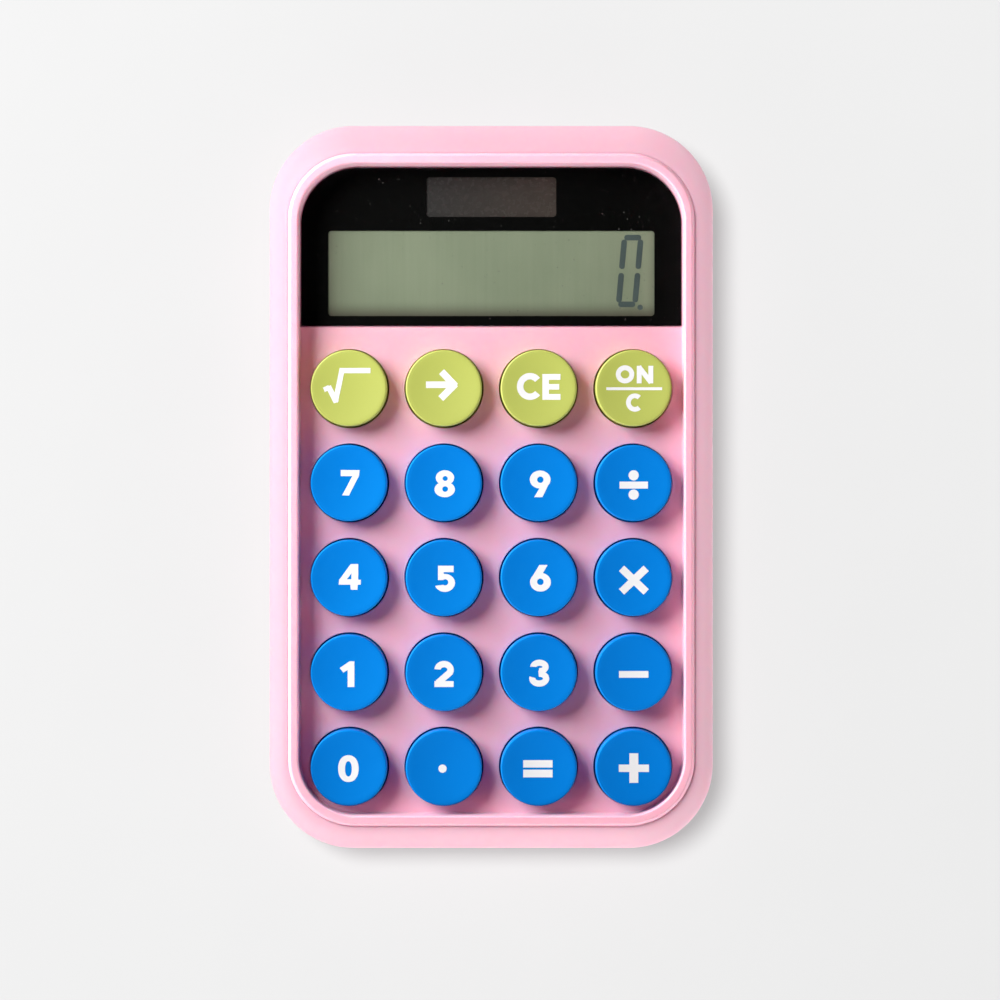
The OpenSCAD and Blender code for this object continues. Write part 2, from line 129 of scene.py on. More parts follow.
# Underside
SCREW_X = 19.05
SCREW_HIGH_Y = 10.325
SCREW_LOW_Y = -46.825
CORNER_SCREW_X = 30.0
CORNER_SCREW_Y = 59.5
HOUSING_SCREWS = (
    (-SCREW_X, SCREW_HIGH_Y), (SCREW_X, SCREW_HIGH_Y),
    (-SCREW_X, SCREW_LOW_Y), (SCREW_X, SCREW_LOW_Y),
    (-CORNER_SCREW_X, CORNER_SCREW_Y), (CORNER_SCREW_X, CORNER_SCREW_Y),
)
COUNTERBORE_R = 2.2
HEAD_SEAT_Z = SCREW_HEAD_Z + 1.3
TOWER_R = 3.4
TOWER_TOP_Z = 6.0
FOOT_R = 4.0
FOOT_X = 34.0
FOOT_Y = 52.0
FEET_AT = ((-FOOT_X, -FOOT_Y), (FOOT_X, -FOOT_Y), (-FOOT_X, FOOT_Y), (FOOT_X, FOOT_Y))
FOOT_POCKET = 0.8
BAY_Y = (CELL_LOW.y + CELL_HIGH.y) / 2
BAY_R = (CELL_HIGH.x - CELL_LOW.x) / 2 + 0.3
BAY_TOP_Z = CELL_HIGH.z + 0.02
DOOR_SLIDE = 4.0
DOOR_FIT = 0.15
DOOR_TONGUE = 1.0
DOOR_FACE_T = 0.7
DOOR_HX = DOOR_HIGH.x - DOOR_TONGUE
ROOF_T = 0.6
BAY_WALL = 1.2
SHANK_HOLE_R = 1.15


# ---------------------------------------------------------------- mesh helpers

def rounded(hx, hy, r, y, z):
    """Ring of points round a rounded rectangle at one height."""
    points = []
    for corner in range(4):
        sx = 1 if corner in (0, 3) else -1
        sy = 1 if corner < 2 else -1
        for step in range(CORNER_STEPS + 1):
            a = math.radians(90 * (corner + step / CORNER_STEPS))
            points.append((sx * (hx - r) + r * math.cos(a), y + sy * (hy - r) + r * math.sin(a), z))
    return points


def link(name, bm):
    """A scene object from a bmesh whose lengths are millimetres."""
    bmesh.ops.transform(bm, matrix=Matrix.Scale(MM, 4), verts=bm.verts)
    bmesh.ops.recalc_face_normals(bm, faces=bm.faces)
    mesh = bpy.data.meshes.new(name)
    bm.to_mesh(mesh)
    bm.free()
    obj = bpy.data.objects.new(name, mesh)
    bpy.context.scene.collection.objects.link(obj)
    return obj


def add_loft(bm, rings):
    """Closed skin through a stack of rings."""
    rows = [[bm.verts.new(p) for p in ring] for ring in rings]
    count = len(rows[0])
    for low, high in zip(rows, rows[1:]):
        for i in range(count):
            j = (i + 1) % count
            bm.faces.new((low[i], low[j], high[j], high[i]))
    bm.faces.new(list(reversed(rows[0])))
    bm.faces.new(rows[-1])


def add_lathe(bm, at, profile, steps=ROUND_STEPS):
    """Solid turned about an upright axis; the (radius, height) profile starts and ends on the axis."""
    rows = []
    turn = 2 * math.pi / steps
    for radius, z in profile:
        count = 1 if radius < 1e-6 else steps
        row = []
        for i in range(count):
            x = at[0] + radius * math.cos(turn * i)
            y = at[1] + radius * math.sin(turn * i)
            row.append(bm.verts.new((x, y, z)))
        rows.append(row)
    for low, high in zip(rows, rows[1:]):
        for i in range(steps):
            j = (i + 1) % steps
            corners = (low[i % len(low)], low[j % len(low)], high[j % len(high)], high[i % len(high)])
            unique = list(dict.fromkeys(corners))
            if len(unique) > 2:
                bm.faces.new(unique)


def add_block(bm, low, high):
    """Plain block between two corners, used as a cutter or a union piece."""
    centre = (Vector(low) + Vector(high)) / 2
    extent = Vector(high) - Vector(low)
    matrix = Matrix.Translation(centre) @ Matrix.Diagonal((*extent, 1))
    bmesh.ops.create_cube(bm, size=1, matrix=matrix)


def add_prism(bm, outline, z0, z1):
    """Upright prism over a flat outline."""
    low = [bm.verts.new((x, y, z0)) for x, y in outline]
    high = [bm.verts.new((x, y, z1)) for x, y in outline]
    count = len(outline)
    for i in range(count):
        j = (i + 1) % count
        bm.faces.new((low[i], low[j], high[j], high[i]))
    bm.faces.new(list(reversed(low)))
    bm.faces.new(high)


def solid(name, add, *args):
    """Scene object from one add_ function."""
    bm = bmesh.new()
    add(bm, *args)
    return link(name, bm)


def turned(name, places, profile, steps=ROUND_STEPS):
    """One object with the same turned solid at several places."""
    bm = bmesh.new()
    for at in places:
        add_lathe(bm, at, profile, steps)
    return link(name, bm)


def disc(radius, z0, z1):
    """Profile of a plain upright cylinder."""
    return [(0, z0), (radius, z0), (radius, z1), (0, z1)]


def flared(radius, mouth_z, far_z, ease):
    """Profile of a cutter for a round hole whose mouth is eased."""
    out = 1 if mouth_z > far_z else -1
    beyond_z = mouth_z + out * OVERSHOOT
    profile = [(0, far_z), (radius, far_z)]
    for degrees in range(0, 91, 15):
        a = math.radians(degrees)
        profile.append((radius + ease * (1 - math.cos(a)), mouth_z - out * ease * (1 - math.sin(a))))
    return profile + [(radius + ease, beyond_z), (0, beyond_z)]


def apply_modifiers(obj):
    """Bakes the modifiers into the mesh."""
    bpy.context.view_layer.update()
    depsgraph = bpy.context.evaluated_depsgraph_get()
    mesh = bpy.data.meshes.new_from_object(obj.evaluated_get(depsgraph))
    obj.modifiers.clear()
    obj.data = mesh


def combine(obj, other, operation):
    """Exact union, difference or intersection with another solid, which is used up."""
    modifier = obj.modifiers.new("combine", "BOOLEAN")
    modifier.operation = operation
    modifier.solver = "EXACT"
    modifier.object = other
    apply_modifiers(obj)
    bpy.data.objects.remove(other)
    return obj


def finish_mesh(obj, angle=35):
    """Smooth shading with crisp edges, flat faces kept flat."""
    mesh = obj.data
    bm = bmesh.new()
    bm.from_mesh(mesh)
    bmesh.ops.remove_doubles(bm, verts=bm.verts, dist=0.0004 * MM)
    bm.to_mesh(mesh)
    bm.free()
    mesh.polygons.foreach_set("use_smooth", [True] * len(mesh.polygons))
    mesh.set_sharp_from_angle(angle=math.radians(angle))
    modifier = obj.modifiers.new("normals", "WEIGHTED_NORMAL")
    modifier.keep_sharp = True
    modifier.weight = 90
    apply_modifiers(obj)


def piece(obj, material, body, slot, *replaced):
    """Paints a piece, seats it on its body and hides the CAD nodes it stands for."""
    obj.data.materials.clear()
    obj.data.materials.append(material)
    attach(obj, body)
    if replaced:
        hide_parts(*replaced)
    return obj


# ---------------------------------------------------------------- material helpers

# How far red, green and blue light spreads inside plastic, as shares of the depth in millimetres
GLOW_REACH = (1.0, 0.25, 0.4)
GLOW_DEPTH = 2.0


class Paint:
    """Small builder for a node material in object coordinates."""

    def __init__(self, name):
        """Starts a material whose shader is fed by the methods below."""
        self.material = bpy.data.materials.new(name)
        self.material.use_nodes = True
        self.nodes = self.material.node_tree.nodes
        self.links = self.material.node_tree.links
        self.shader = self.nodes["Principled BSDF"]
        self.coordinates = self.nodes.new("ShaderNodeTexCoord").outputs["Object"]

    def set(self, **values):
        """Sets shader inputs; an underscore in a name stands for a space."""
        for key, value in values.items():
            self.shader.inputs[key.replace("_", " ")].default_value = value

    def noise(self, scale, detail=3.0, roughness=0.55, stretch=(1, 1, 1)):
        """Noise in object space; scale is in cycles per metre."""
        mapping = self.nodes.new("ShaderNodeMapping")
        mapping.inputs["Scale"].default_value = stretch
        self.links.new(self.coordinates, mapping.inputs["Vector"])
        texture = self.nodes.new("ShaderNodeTexNoise")
        texture.inputs["Scale"].default_value = scale
        texture.inputs["Detail"].default_value = detail
        texture.inputs["Roughness"].default_value = roughness
        self.links.new(mapping.outputs["Vector"], texture.inputs["Vector"])
        return texture.outputs["Fac"]

    def ramp(self, value, stops):
        """Colour ramp through (position, colour) stops."""
        node = self.nodes.new("ShaderNodeValToRGB")
        elements = node.color_ramp.elements
        while len(elements) > 1:
            elements.remove(elements[-1])
        elements[0].position = stops[0][0]
        elements[0].color = (*stops[0][1], 1)
        for position, colour in stops[1:]:
            elements.new(position).color = (*colour, 1)
        self.links.new(value, node.inputs["Fac"])
        return node.outputs["Color"]

    def spread(self, value, low, high):
        """Maps a 0..1 value on to a range of plain numbers."""
        node = self.nodes.new("ShaderNodeMapRange")
        node.inputs["From Min"].default_value = 0.3
        node.inputs["From Max"].default_value = 0.7
        node.inputs["To Min"].default_value = low
        node.inputs["To Max"].default_value = high
        self.links.new(value, node.inputs["Value"])
        return node.outputs["Result"]

    def mix(self, factor, first, second, blend="MIX"):
        """Mixes two colours, either of which may be a socket."""
        node = self.nodes.new("ShaderNodeMix")
        node.data_type = "RGBA"
        node.blend_type = blend
        for value, socket in ((factor, node.inputs[0]), (first, node.inputs[6]), (second, node.inputs[7])):
            if isinstance(value, bpy.types.NodeSocket):
                self.links.new(value, socket)
            elif isinstance(value, tuple):
                socket.default_value = (*value, 1)
            else:
                socket.default_value = value
        return node.outputs[2]

    def bump(self, height, strength, distance):
        """Adds a bump from a height to the shader's normal; distance is millimetres."""
        node = self.nodes.new("ShaderNodeBump")
        node.inputs["Strength"].default_value = strength
        node.inputs["Distance"].default_value = distance * MM
        self.links.new(height, node.inputs["Height"])
        earlier = self.shader.inputs["Normal"].links
        if earlier:
            self.links.new(earlier[0].from_socket, node.inputs["Normal"])
        self.links.new(node.outputs["Normal"], self.shader.inputs["Normal"])

    def colour(self, socket):
        """Feeds the base colour."""
        self.links.new(socket, self.shader.inputs["Base Color"])

    def roughness(self, socket):
        """Feeds the roughness."""
        self.links.new(socket, self.shader.inputs["Roughness"])


def shade(colour, factor):
    """The same colour, lighter or darker."""
    return tuple(channel * factor for channel in colour)


def moulded(name, colour, low, high, grain, depth, specular, tint=(1, 1, 1), flow=0.03, glow=0.0):
    """Moulded plastic: faint flow marks, spark-eroded grain, uneven satin gloss and some glow within."""
    paint = Paint(name)
    flow_noise = paint.noise(38, 2.0)
    paint.colour(paint.ramp(flow_noise, [(0.3, shade(colour, 1 - flow)), (0.7, shade(colour, 1 + flow))]))
    paint.roughness(paint.spread(paint.noise(700, 4.0), low, high))
    paint.bump(paint.noise(grain, 5.0, 0.6), 0.5, depth)
    paint.bump(paint.noise(220, 2.0), 0.35, depth * 1.5)
    paint.set(Specular_IOR_Level=specular, Specular_Tint=(*tint, 1))
    paint.set(Subsurface_Weight=glow, Subsurface_Radius=GLOW_REACH, Subsurface_Scale=GLOW_DEPTH * MM)
    return paint.material


def metal(name, colour, low, high, stretch=(1, 1, 1)):
    """Plated or brushed metal with fine scratches."""
    paint = Paint(name)
    brushed = paint.noise(900, 5.0, 0.6, stretch)
    paint.colour(paint.ramp(brushed, [(0.35, shade(colour, 0.86)), (0.65, colour)]))
    paint.roughness(paint.spread(paint.noise(1500, 4.0, 0.6, stretch), low, high))
    paint.bump(brushed, 0.25, 0.01)
    paint.set(Metallic=1.0)
    return paint.material


def board_material():
    """Solder-masked laminate with the weave of the glass cloth and lighter copper runs under the mask."""
    paint = Paint("board_laminate")
    wave = paint.nodes.new("ShaderNodeTexWave")
    wave.inputs["Scale"].default_value = 300
    wave.inputs["Distortion"].default_value = 6
    wave.inputs["Detail"].default_value = 1
    paint.links.new(paint.coordinates, wave.inputs["Vector"])
    copper = paint.ramp(wave.outputs["Fac"], [(0.62, (0.008, 0.09, 0.035)), (0.72, (0.02, 0.17, 0.06))])
    paint.colour(copper)
    paint.roughness(paint.spread(paint.noise(900, 3.0), 0.25, 0.4))
    paint.bump(wave.outputs["Fac"], 0.3, 0.03)
    paint.bump(paint.noise(4000, 2.0), 0.2, 0.01)
    return paint.material


def lcd_material():
    """Grey-green display film with fine upright streaks and painted shade: darker and browner towards its
    lower and side edges.
    """
    paint = Paint("lcd_film")
    separate = paint.nodes.new("ShaderNodeSeparateXYZ")
    paint.links.new(paint.coordinates, separate.inputs["Vector"])

    def fade(socket, start, end):
        """Smooth step along one axis, from and to in millimetres."""
        node = paint.nodes.new("ShaderNodeMapRange")
        node.interpolation_type = "SMOOTHSTEP"
        node.inputs["From Min"].default_value = start * MM
        node.inputs["From Max"].default_value = end * MM
        paint.links.new(socket, node.inputs["Value"])
        return node.outputs["Result"]

    streaks = paint.noise(1500, 3.0, 0.6, (1, 0.03, 1))
    clouds = paint.noise(60, 2.0)
    green = paint.ramp(streaks, [(0.3, (0.232, 0.272, 0.179)), (0.7, (0.262, 0.303, 0.206))])
    cloudy = paint.ramp(clouds, [(0.35, (0.225, 0.265, 0.176)), (0.65, (0.27, 0.31, 0.21))])
    green = paint.mix(0.5, green, cloudy)
    # Painted shade: the colours below darken the film towards its lower, left and right edges.
    brown = (0.078, 0.066, 0.047)
    low_y = LCD_Y - LCD_H / 2
    lower = fade(separate.outputs["Y"], low_y - 1.1, low_y + 3.3)
    left = fade(separate.outputs["X"], -LCD_W / 2 - 3.2, -LCD_W / 2 + 2.2)
    right = fade(separate.outputs["X"], LCD_W / 2 + 2.6, LCD_W / 2 - 1.9)
    shaded = paint.mix(lower, brown, green)
    shaded = paint.mix(left, (0.13, 0.105, 0.078), shaded)
    shaded = paint.mix(right, (0.06, 0.058, 0.045), shaded)
    paint.colour(shaded)
    paint.roughness(paint.spread(streaks, 0.45, 0.6))
    paint.bump(streaks, 0.15, 0.01)
    paint.set(Specular_IOR_Level=0.3)
    return paint.material


def lens_material():
    """Clear acrylic: nearly all light passes, a weak gloss and a few specks of dust stay on its face."""
    paint = Paint("lens_clear")
    output = paint.nodes["Material Output"]
    clear = paint.nodes.new("ShaderNodeBsdfTransparent")
    clear.inputs["Color"].default_value = (0.965, 0.97, 0.965, 1)
    fresnel = paint.nodes.new("ShaderNodeFresnel")
    fresnel.inputs["IOR"].default_value = 1.45
    outside = paint.nodes.new("ShaderNodeMath")
    outside.operation = "SUBTRACT"
    outside.inputs[0].default_value = 1.0
    paint.links.new(paint.nodes.new("ShaderNodeNewGeometry").outputs["Backfacing"], outside.inputs[1])
    share = paint.nodes.new("ShaderNodeMath")
    share.operation = "MULTIPLY"
    paint.links.new(fresnel.outputs["Fac"], share.inputs[0])
    paint.links.new(outside.outputs["Value"], share.inputs[1])
    gloss = paint.nodes.new("ShaderNodeMixShader")
    paint.links.new(share.outputs["Value"], gloss.inputs["Fac"])
    paint.links.new(clear.outputs["BSDF"], gloss.inputs[1])
    paint.links.new(paint.shader.outputs["BSDF"], gloss.inputs[2])
    paint.set(Metallic=1.0, Base_Color=(0.9, 0.92, 0.95, 1))
    paint.roughness(paint.spread(paint.noise(500, 3.0), 0.03, 0.09))
    dust = paint.nodes.new("ShaderNodeTexVoronoi")
    dust.inputs["Scale"].default_value = 520
    dust.inputs["Randomness"].default_value = 1.0
    paint.links.new(paint.coordinates, dust.inputs["Vector"])
    speck = paint.ramp(dust.outputs["Distance"], [(0.04, (1, 1, 1)), (0.1, (0, 0, 0))])
    scarce = paint.ramp(paint.noise(90, 2.0), [(0.46, (0, 0, 0)), (0.62, (0.3, 0.3, 0.3))])
    amount = paint.mix(1.0, speck, scarce, "MULTIPLY")
    fleck = paint.nodes.new("ShaderNodeBsdfDiffuse")
    fleck.inputs["Color"].default_value = (0.3, 0.29, 0.27, 1)
    dusty = paint.nodes.new("ShaderNodeMixShader")
    paint.links.new(amount, dusty.inputs["Fac"])
    paint.links.new(gloss.outputs["Shader"], dusty.inputs[1])
    paint.links.new(fleck.outputs["BSDF"], dusty.inputs[2])
    paint.links.new(dusty.outputs["Shader"], output.inputs["Surface"])
    return paint.material


def solar_material():
    """Amorphous cell behind glass: brown-grey, a little warmer towards the right."""
    paint = Paint("solar_glass")
    separate = paint.nodes.new("ShaderNodeSeparateXYZ")
    paint.links.new(paint.coordinates, separate.inputs["Vector"])
    across = paint.nodes.new("ShaderNodeMapRange")
    across.inputs["From Min"].default_value = -SOLAR_W / 2 * MM
    across.inputs["From Max"].default_value = SOLAR_W / 2 * MM
    paint.links.new(separate.outputs["X"], across.inputs["Value"])
    grey = paint.mix(across.outputs["Result"], (0.044, 0.042, 0.041), (0.066, 0.052, 0.045))
    cloud = paint.ramp(paint.noise(160, 3.0), [(0.3, (0.95, 0.95, 0.95)), (0.7, (1.05, 1.05, 1.05))])
    paint.colour(paint.mix(1.0, grey, cloud, "MULTIPLY"))
    paint.roughness(paint.spread(paint.noise(900, 2.0), 0.2, 0.32))
    paint.bump(paint.noise(2500, 2.0), 0.05, 0.005)
    paint.set(Specular_IOR_Level=0.3)
    return paint.material


def ink_material():
    """Opaque black ink under the lens."""
    paint = Paint("lens_ink")
    clouds = paint.noise(300, 3.0)
    paint.colour(paint.ramp(clouds, [(0.3, (0.0009, 0.0009, 0.0008)), (0.7, (0.0017, 0.0016, 0.0015))]))
    paint.roughness(paint.spread(paint.noise(1200, 2.0), 0.5, 0.65))
    paint.bump(paint.noise(3000, 2.0), 0.1, 0.005)
    paint.set(Specular_IOR_Level=0.06)
    return paint.material


def film_material(name, colour, low, high):
    """Thin film or tape with a faint cloudy surface."""
    paint = Paint(name)
    paint.colour(paint.ramp(paint.noise(250, 3.0), [(0.3, shade(colour, 0.9)), (0.7, shade(colour, 1.08))]))
    paint.roughness(paint.spread(paint.noise(900, 3.0), low, high))
    paint.bump(paint.noise(1800, 3.0), 0.2, 0.01)
    return paint.material


def rubber_material(name, colour, low=0.55, high=0.75, weight=0.0):
    """Soft rubber with a faint bloom and fine pores."""
    paint = Paint(name)
    paint.colour(paint.ramp(paint.noise(180, 4.0), [(0.3, shade(colour, 0.88)), (0.7, shade(colour, 1.05))]))
    paint.roughness(paint.spread(paint.noise(800, 3.0), low, high))
    paint.bump(paint.noise(3500, 4.0), 0.35, 0.02)
    paint.set(Subsurface_Weight=weight, Subsurface_Scale=0.001)
    return paint.material


PINK = (0.86, 0.485, 0.585)
BLUE = (0.0, 0.163, 0.645)
LIME = (0.43, 0.47, 0.08)
WHITE = (0.83, 0.82, 0.83)

MATERIALS = {
    "case_plastic": moulded("case_plastic", PINK, 0.42, 0.55, 3600, 0.012, 0.45, flow=0.015, glow=0.4),
    "key_blue": moulded("key_blue", BLUE, 0.55, 0.66, 4200, 0.02, 0.9, (0.02, 0.9, 0.6), 0.02),
    "key_lime": moulded("key_lime", LIME, 0.55, 0.66, 4200, 0.02, 0.7, flow=0.02),
    "legend_print": moulded("legend_print", WHITE, 0.5, 0.62, 4200, 0.012, 0.3, flow=0.01),
    "lens_clear": lens_material(),
    "lens_ink": ink_material(),
    "adhesive_tape": film_material("adhesive_tape", (0.012, 0.012, 0.012), 0.5, 0.7),
    "polarizer_film": lcd_material(),
    "lcd_glass": film_material("lcd_glass", (0.3, 0.34, 0.26), 0.1, 0.18),
    "lcd_segment": film_material("lcd_segment", (0.066, 0.094, 0.09), 0.45, 0.6),
    "reflector_film": film_material("reflector_film", (0.3, 0.33, 0.25), 0.3, 0.45),
    "frame_plastic": moulded("frame_plastic", (0.7, 0.7, 0.68), 0.5, 0.62, 3000, 0.02, 0.4),
    "strip_rubber": rubber_material("strip_rubber", (0.66, 0.24, 0.32)),
    "solar_glass": solar_material(),
    "foam_pad": rubber_material("foam_pad", (0.05, 0.05, 0.05), 0.85, 0.95),
    "wire_jacket": moulded("wire_jacket", (0.45, 0.02, 0.02), 0.35, 0.5, 2500, 0.01, 0.5),
    "board_laminate": board_material(),
    "chip_epoxy": moulded("chip_epoxy", (0.006, 0.006, 0.006), 0.25, 0.4, 900, 0.03, 0.5),
    "capacitor_sleeve": moulded("capacitor_sleeve", (0.015, 0.025, 0.14), 0.3, 0.45, 1500, 0.01, 0.5),
    "membrane_silicone": rubber_material("membrane_silicone", (0.66, 0.66, 0.66), 0.45, 0.6, 0.2),
    "screw_steel": metal("screw_steel", (0.6, 0.6, 0.62), 0.25, 0.42),
    "foot_rubber": rubber_material("foot_rubber", (0.56, 0.54, 0.55), 0.5, 0.68, 0.3),
    "cell_steel": metal("cell_steel", (0.68, 0.68, 0.69), 0.16, 0.3, (1, 0.08, 1)),
    "contact_metal": metal("contact_metal", (0.72, 0.55, 0.25), 0.2, 0.35, (0.1, 1, 1)),
}


# ---------------------------------------------------------------- case

def outline(hx, hy, r, y, z, inset):
    """Ring inset from an outline, with its corner eased a little less than the inset."""
    return rounded(hx - inset, hy - inset, max(r - CORNER_EASE * inset, 0.3), y, z)


def case_rings():
    """Rings from the flat base, up the sides and the bevel, over the lip and down inside to the floor."""
    rings = []
    for step in range(9):
        a = math.radians(90 * step / 8)
        inset = BASE_ROUND * (1 - math.sin(a))
        z = FLOOR_Z + BASE_ROUND * (1 - math.cos(a))
        rings.append(rounded(CASE_HX - inset, CASE_HY - inset, CASE_R - inset, 0, z))
    inner = (COVER_HX + PARTING, COVER_HY + PARTING, COVER_R + PARTING)
    crest = tuple(value + LIP for value in inner)
    for step in range(31):
        a = math.radians(90 * step / 30)
        f = 1 - math.cos(a) ** (2 / SHOULDER_POWER) if step < 30 else 1
        rise = math.sin(a) ** (2 / SHOULDER_POWER)
        rings.append(rounded(
            CASE_HX + (crest[0] - CASE_HX) * f,
            CASE_HY + (crest[1] - CASE_HY) * f,
            CASE_R + (crest[2] - CASE_R) * f,
            COVER_Y * f,
            SHOULDER_Z + (CREST_Z - SHOULDER_Z) * rise,
        ))
    for step in range(6):
        a = math.radians(90 * step / 5)
        grow = CREST_R * (1 - math.sin(a))
        z = CREST_Z - CREST_R * (1 - math.cos(a))
        rings.append(rounded(inner[0] + grow, inner[1] + grow, inner[2] + grow, COVER_Y, z))
    rings.append(rounded(*inner, COVER_Y, LEDGE_Z))
    cavity = (CASE_HX - WALL, CASE_HY - WALL, CASE_R - WALL)
    rings.append(rounded(*cavity, 0, LEDGE_Z))
    rings.append(rounded(*cavity, 0, INNER_FLOOR_Z))
    return rings


def make_case():
    """Rear case with its screw towers, battery bay, door slot, counterbores and foot pockets."""
    case = solid("case_shell", add_loft, case_rings())
    slot_low = BAY_Y - (DOOR_HIGH.y - DOOR_LOW.y) / 2 - DOOR_FIT
    slot_high = BAY_Y + (DOOR_HIGH.y - DOOR_LOW.y) / 2 + DOOR_SLIDE + DOOR_FIT * 2
    roof_z = DOOR_HIGH.z + 0.05
    root_z = INNER_FLOOR_Z - OVERSHOOT
    combine(case, turned("towers", HOUSING_SCREWS, disc(TOWER_R, root_z, TOWER_TOP_Z)), "UNION")
    roof = ((-DOOR_HX - 4, slot_low - 2, root_z), (DOOR_HX + 4, slot_high + 2, roof_z + ROOF_T))
    combine(case, solid("roof", add_block, *roof), "UNION")
    combine(case, turned("bay", [(0, BAY_Y)], disc(BAY_R + BAY_WALL, root_z, BAY_TOP_Z)), "UNION")
    bores = flared(COUNTERBORE_R, FLOOR_Z, HEAD_SEAT_Z, 0.25)
    combine(case, turned("bores", HOUSING_SCREWS, bores), "DIFFERENCE")
    shanks = disc(SHANK_HOLE_R, HEAD_SEAT_Z - OVERSHOOT, TOWER_TOP_Z + OVERSHOOT)
    combine(case, turned("shanks", HOUSING_SCREWS, shanks, 32), "DIFFERENCE")
    pockets = flared(FOOT_R + 0.1, FLOOR_Z, FLOOR_Z + FOOT_POCKET, 0.15)
    combine(case, turned("pockets", FEET_AT, pockets), "DIFFERENCE")
    slot_hx = DOOR_HX + DOOR_FIT
    face = ((-slot_hx, slot_low, FLOOR_Z - OVERSHOOT), (slot_hx, slot_high, roof_z))
    combine(case, solid("slot_face", add_block, *face), "DIFFERENCE")
    rail_hx = slot_hx + DOOR_TONGUE
    tongue = ((-rail_hx, slot_low, FLOOR_Z + DOOR_FACE_T), (rail_hx, slot_high, roof_z))
    combine(case, solid("slot_tongue", add_block, *tongue), "DIFFERENCE")
    cell_hole = disc(BAY_R, roof_z - OVERSHOOT, BAY_TOP_Z + OVERSHOOT)
    combine(case, turned("cell_hole", [(0, BAY_Y)], cell_hole), "DIFFERENCE")
    leaf = ((BAY_R - 1, BAY_Y - 2, roof_z + ROOF_T), (BAY_R + 2.2, BAY_Y + 2, BAY_TOP_Z + OVERSHOOT))
    combine(case, solid("leaf_slot", add_block, *leaf), "DIFFERENCE")
    finish_mesh(case, 30)
    return piece(case, MATERIALS["case_plastic"], "root", "case_plastic", "rear_case")


def cover_rings():
    """Rings from under the plate, round the skirt and the rim and down to the face of the plate."""
    base = (COVER_HX, COVER_HY, COVER_R, COVER_Y)
    recess = RIM_W
    rings = [
        outline(*base, PLATE_Z - PLATE_T, recess),
        outline(*base, SKIRT_Z, recess),
        outline(*base, SKIRT_Z, 0),
        outline(*base, RIM_Z - SLOPE_H - 0.1, 0),
    ]
    for inset, drop in ((0.012, 0.96), (0.05, 0.86), (0.11, 0.75)):
        rings.append(outline(*base, RIM_Z - SLOPE_H * drop, inset))
    for inset, drop in ((0.47, 0.18), (0.57, 0.07), (SLOPE_W, 0.02), (0.76, 0.0)):
        rings.append(outline(*base, RIM_Z - SLOPE_H * drop, inset))
    for step in range(9):
        a = math.radians(90 * step / 8)
        inset = recess - RIM_FILLET * (1 - math.sin(a))
        rings.append(outline(*base, RIM_Z - RIM_FILLET * (1 - math.cos(a)), inset))
    for step in range(7):
        a = math.radians(90 * step / 6)
        inset = recess + FOOT_FILLET * (1 - math.cos(a)) + 0.03
        rings.append(outline(*base, PLATE_Z + FOOT_FILLET * (1 - math.sin(a)), inset))
    return rings


def clipped_recess(inset, z0, z1, low_y):
    """Solid with the recess outline that stops at a straight lower edge."""
    base = (COVER_HX, COVER_HY, COVER_R, COVER_Y)
    body = solid("recess", add_loft, [outline(*base, z0, RIM_W + inset), outline(*base, z1, RIM_W + inset)])
    limits = ((-CASE_HX, low_y, z0 - 1), (CASE_HX, CASE_HY, z1 + 1))
    return combine(body, solid("limits", add_block, *limits), "INTERSECT")


def window(w, h, y, z0, z1):
    """Cutter for a rectangular window with small corner radii."""
    return solid("window", add_loft, [rounded(w / 2, h / 2, WINDOW_R, y, z) for z in (z0, z1)])


def make_cover():
    """Top cover: rim, plate with twenty key holes, and the sunk seat of the lens with its two windows."""
    cover = solid("cover_shell", add_loft, cover_rings())
    slab = clipped_recess(0.5, SEAT_Z - SEAT_T, PLATE_Z - PLATE_T + OVERSHOOT, LENS_EDGE_Y - 1.4)
    combine(cover, slab, "UNION")
    pocket = clipped_recess(0.05, SEAT_Z, PLATE_Z + 1, LENS_EDGE_Y - LENS_GAP)
    combine(cover, pocket, "DIFFERENCE")
    edge_y = LENS_EDGE_Y - LENS_GAP
    lip = [(edge_y + 1, PLATE_Z + 0.4), (edge_y - LIP_EASE, PLATE_Z + 0.4)]
    for degrees in range(0, 91, 15):
        a = math.radians(degrees)
        lip.append((edge_y - LIP_EASE * math.cos(a), PLATE_Z - LIP_EASE * (1 - math.sin(a))))
    lip.append((edge_y + 1, PLATE_Z - LIP_EASE))
    bm = bmesh.new()
    half = COVER_HX - RIM_W - 0.4
    ends = [[bm.verts.new((x, y, z)) for y, z in lip] for x in (-half, half)]
    bm.faces.new(ends[0])
    bm.faces.new(list(reversed(ends[1])))
    for i in range(len(lip)):
        j = (i + 1) % len(lip)
        bm.faces.new((ends[0][i], ends[1][i], ends[1][j], ends[0][j]))
    combine(cover, link("lip", bm), "DIFFERENCE")
    for node in ("lcd_glass", "solar_cell"):
        low, high = box_mm(node)
        size = high - low
        pane = window(size.x + 0.3, size.y + 0.3, (low.y + high.y) / 2, SEAT_Z - SEAT_T - 1, SEAT_Z + 1)
        combine(cover, pane, "DIFFERENCE")
    holes = flared(KEY_HOLE_R, PLATE_Z, PLATE_Z - PLATE_T - 1, HOLE_FILLET)
    combine(cover, turned("holes", [key_centre(node) for node in KEY_NODES], holes), "DIFFERENCE")
    finish_mesh(cover, 30)
    return piece(cover, MATERIALS["case_plastic"], "root", "case_plastic", "top_cover")


# ---------------------------------------------------------------- display

